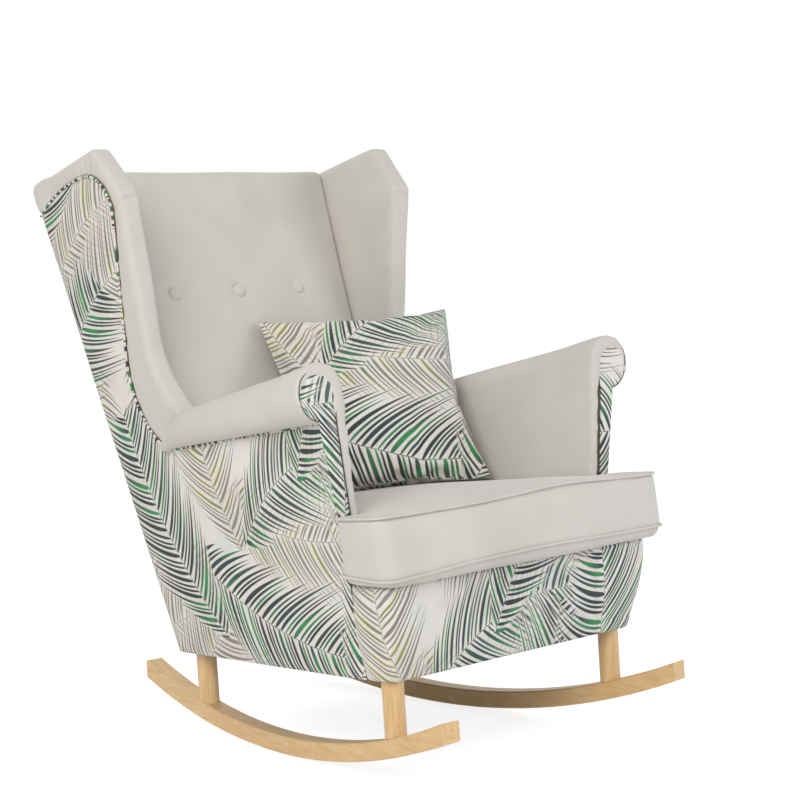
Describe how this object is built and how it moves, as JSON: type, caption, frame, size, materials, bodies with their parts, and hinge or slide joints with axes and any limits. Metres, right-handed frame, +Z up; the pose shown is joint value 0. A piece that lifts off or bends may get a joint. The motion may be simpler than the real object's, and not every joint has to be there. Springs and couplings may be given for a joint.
{
  "type": "rocking armchair",
  "caption": "Upholstered wing armchair on bent wooden rockers, with rolled arms, buttoned back, loose seat cushion and throw pillow.",
  "frame": {"origin": "on the floor, under the middle of the chair's overall box, at rest on the rockers", "axes": "+Z up, +Y to the rear of the chair, +X to the right of someone who faces it"},
  "size_m": [0.8, 0.9886, 1.0267],
  "materials": {
    "beech": "clear satin lacquer",
    "frame_wood": "raw plywood and softwood",
    "plain_velvet": "short-pile velvet",
    "printed_velvet": "printed short-pile velvet",
    "deck_cloth": "plain woven deck cloth over padding",
    "dust_cloth": "black non-woven",
    "webbing": "elastic webbing",
    "spring_steel": "bright zinc"
  },
  "bodies": {
    "chair": {"arm_board_left": "frame_wood", "arm_board_right": "frame_wood", "arm_facing_board_left": "frame_wood", "arm_facing_board_right": "frame_wood", "arm_front_panel_left": "printed_velvet", "arm_front_panel_right": "printed_velvet", "arm_pad_left": "plain_velvet", "arm_pad_right": "plain_velvet", "arm_rail_left": "frame_wood", "arm_rail_right": "frame_wood", "back_buttons": "plain_velvet", "back_lower_rail": "frame_wood", "back_pad": "plain_velvet", "back_post_left": "frame_wood", "back_post_right": "frame_wood", "back_top_rail": "frame_wood", "back_webbing": "webbing", "corner_blocks": "frame_wood", "dust_cover": "dust_cloth", "front_apron": "printed_velvet", "leg_board_front": "frame_wood", "leg_board_rear": "frame_wood", "leg_bolts": "spring_steel", "leg_front_left": "beech", "leg_front_right": "beech", "leg_inserts": "spring_steel", "leg_rear_left": "beech", "leg_rear_right": "beech", "outer_back": "printed_velvet", "outer_side_left": "printed_velvet", "outer_side_right": "printed_velvet", "rocker_left": "beech", "rocker_right": "beech", "rocker_screws": "spring_steel", "seat_deck": "deck_cloth", "seat_front_rail": "frame_wood", "seat_rear_rail": "frame_wood", "seat_side_rail_left": "frame_wood", "seat_side_rail_right": "frame_wood", "seat_springs": "spring_steel", "spring_clips": "spring_steel", "wing_board_left": "frame_wood", "wing_board_right": "frame_wood", "wing_pad_left": "plain_velvet", "wing_pad_right": "plain_velvet"},
    "seat_cushion": {"seat_cushion": "plain_velvet"},
    "throw_pillow": {"throw_pillow": "printed_velvet"}
  },
  "joints": [
    {"name": "cushion_lift", "type": "slide", "parent": "chair", "child": "seat_cushion", "axis": [0, 0.0802, 0.9968], "range_m": [0, 0.45]},
    {"name": "pillow_lift", "type": "slide", "parent": "seat_cushion", "child": "throw_pillow", "axis": [0, 0.0802, 0.9968], "range_m": [0, 0.4]}
  ]
}
